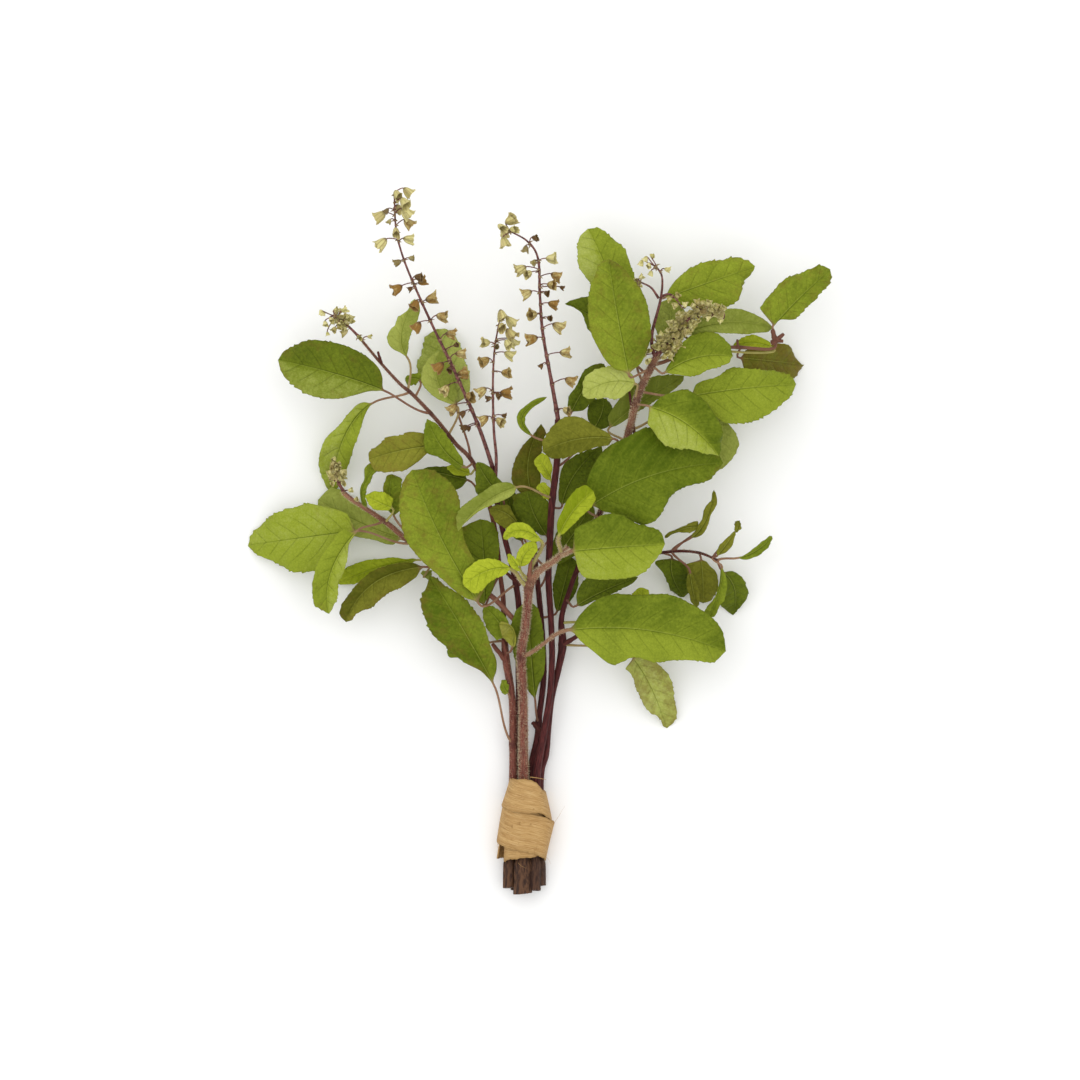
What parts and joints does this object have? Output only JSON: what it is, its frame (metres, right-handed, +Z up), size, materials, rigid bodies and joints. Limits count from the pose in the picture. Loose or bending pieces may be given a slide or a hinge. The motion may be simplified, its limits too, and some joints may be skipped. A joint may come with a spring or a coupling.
{
  "type": "holy basil bunch",
  "caption": "Cut bunch of holy basil: oval toothed leaves and thin flower spikes on dark hairy stems, tied with a strip of dried leaf fibre, lying on a surface",
  "frame": {"origin": "the middle of the tie's flat underside, on the surface that the bunch lies on", "axes": "+Y along the stems towards the flower tips, +X to the right seen from above with the tips away from the viewer, +Z up from the surface"},
  "size_m": [0.1956, 0.236, 0.0445],
  "materials": {
    "leaf_green": "matte",
    "leaf_dark": "matte",
    "leaf_olive": "matte",
    "leaf_pale": "matte",
    "leaf_bright": "matte",
    "stem_purple": "matte",
    "stem_brown": "matte",
    "calyx": "matte",
    "dried_fibre": "matte"
  },
  "bodies": {
    "root": {"stem_front": "stem_brown", "stem_left": "stem_brown", "branch_upper_left": "stem_purple", "stem_left_spikes": "stem_purple", "stem_middle_spike": "stem_purple", "stem_right": "stem_purple", "stem_back": "stem_purple", "twig_left": "stem_brown", "twig_far_right": "stem_purple", "twig_low_right": "stem_purple", "spike_left": "calyx", "spike_left_short": "calyx", "spike_middle": "calyx", "spike_right": "calyx", "spike_top_right": "calyx", "spike_upper_left": "calyx", "spike_left_bud": "calyx", "leaf_upper_left_large": "leaf_dark", "leaf_upper_left_hanging": "leaf_green", "leaf_upper_left_pale": "leaf_pale", "leaf_behind_left_spike": "leaf_dark", "leaf_upper_left_cupped": "leaf_pale", "leaf_left_brown": "leaf_olive", "leaf_left_narrow": "leaf_green", "leaf_centre_left_large": "leaf_green", "leaf_centre_grey": "leaf_pale", "leaf_centre_dark": "leaf_dark", "leaf_far_left": "leaf_green", "leaf_far_left_under": "leaf_pale", "leaf_far_left_rolled": "leaf_green", "leaf_left_low_pale": "leaf_bright", "leaf_left_low_olive": "leaf_olive", "leaf_front_left_low": "leaf_green", "leaf_between_stems": "leaf_dark", "leaf_young_left": "leaf_bright", "leaf_young_top": "leaf_bright", "leaf_young_right": "leaf_bright", "leaf_right_front": "leaf_green", "leaf_right_largest": "leaf_green", "leaf_right_hanging": "leaf_pale", "leaf_top_back": "leaf_green", "leaf_top_front": "leaf_green", "leaf_top_right_broad": "leaf_green", "leaf_top_right_pale": "leaf_pale", "leaf_far_right_top": "leaf_green", "leaf_far_right_brown": "leaf_olive", "leaf_upper_right_broad": "leaf_green", "leaf_upper_right_oval": "leaf_green", "leaf_upper_right_two_tone": "leaf_green", "leaf_right_behind": "leaf_pale", "leaf_right_toothed": "leaf_green", "leaf_upper_right_bright": "leaf_pale", "leaf_behind_middle_spike": "leaf_dark", "leaf_middle_olive": "leaf_olive", "leaf_middle_brown": "leaf_olive", "leaf_low_right_twisted": "leaf_olive", "leaf_low_right_dark": "leaf_dark", "leaf_low_right_rounded": "leaf_olive", "leaf_low_right_tip": "leaf_dark", "tie_strip": "dried_fibre"}
  },
  "joints": []
}
